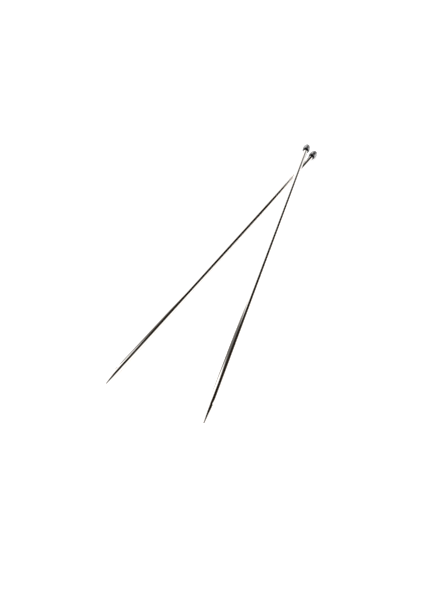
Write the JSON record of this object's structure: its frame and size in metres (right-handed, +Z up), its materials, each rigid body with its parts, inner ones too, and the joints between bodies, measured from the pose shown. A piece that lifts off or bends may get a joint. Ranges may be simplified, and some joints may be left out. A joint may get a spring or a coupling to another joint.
{
  "type": "straight knitting needles",
  "caption": "Straight single-pointed metal knitting needles laid crossed near the heads, each a slender polished tube with a rounded taper point, a dark collar and a small crowned knob",
  "frame": {"origin": "On the table under the middle of the pair: the centre of the bottom of its bounding box.", "axes": "+Y runs along the line that halves the crossing, from the tips towards the knobs; +Z is up from the table; +X is to the right when looking along +Y."},
  "size_m": [0.0724, 0.348, 0.0138],
  "materials": {
    "shaft_metal": "bright nickel plate, polished",
    "point_metal": "bright nickel plate, polished",
    "sleeve_nylon": "matt black nylon",
    "knob_metal": "fine-turned, satin"
  },
  "bodies": {
    "lower_needle": {"lower_shaft": "shaft_metal", "lower_point": "point_metal", "lower_sleeve": "sleeve_nylon", "lower_knob": "knob_metal"},
    "upper_needle": {"upper_shaft": "shaft_metal", "upper_point": "point_metal", "upper_sleeve": "sleeve_nylon", "upper_knob": "knob_metal"}
  },
  "joints": [
    {"name": "swing", "type": "hinge", "parent": "lower_needle", "child": "upper_needle", "pos_m": [0, 0.13251, 0.009], "axis": [0, 0, 1], "range_deg": [-3.5, 150]}
  ]
}
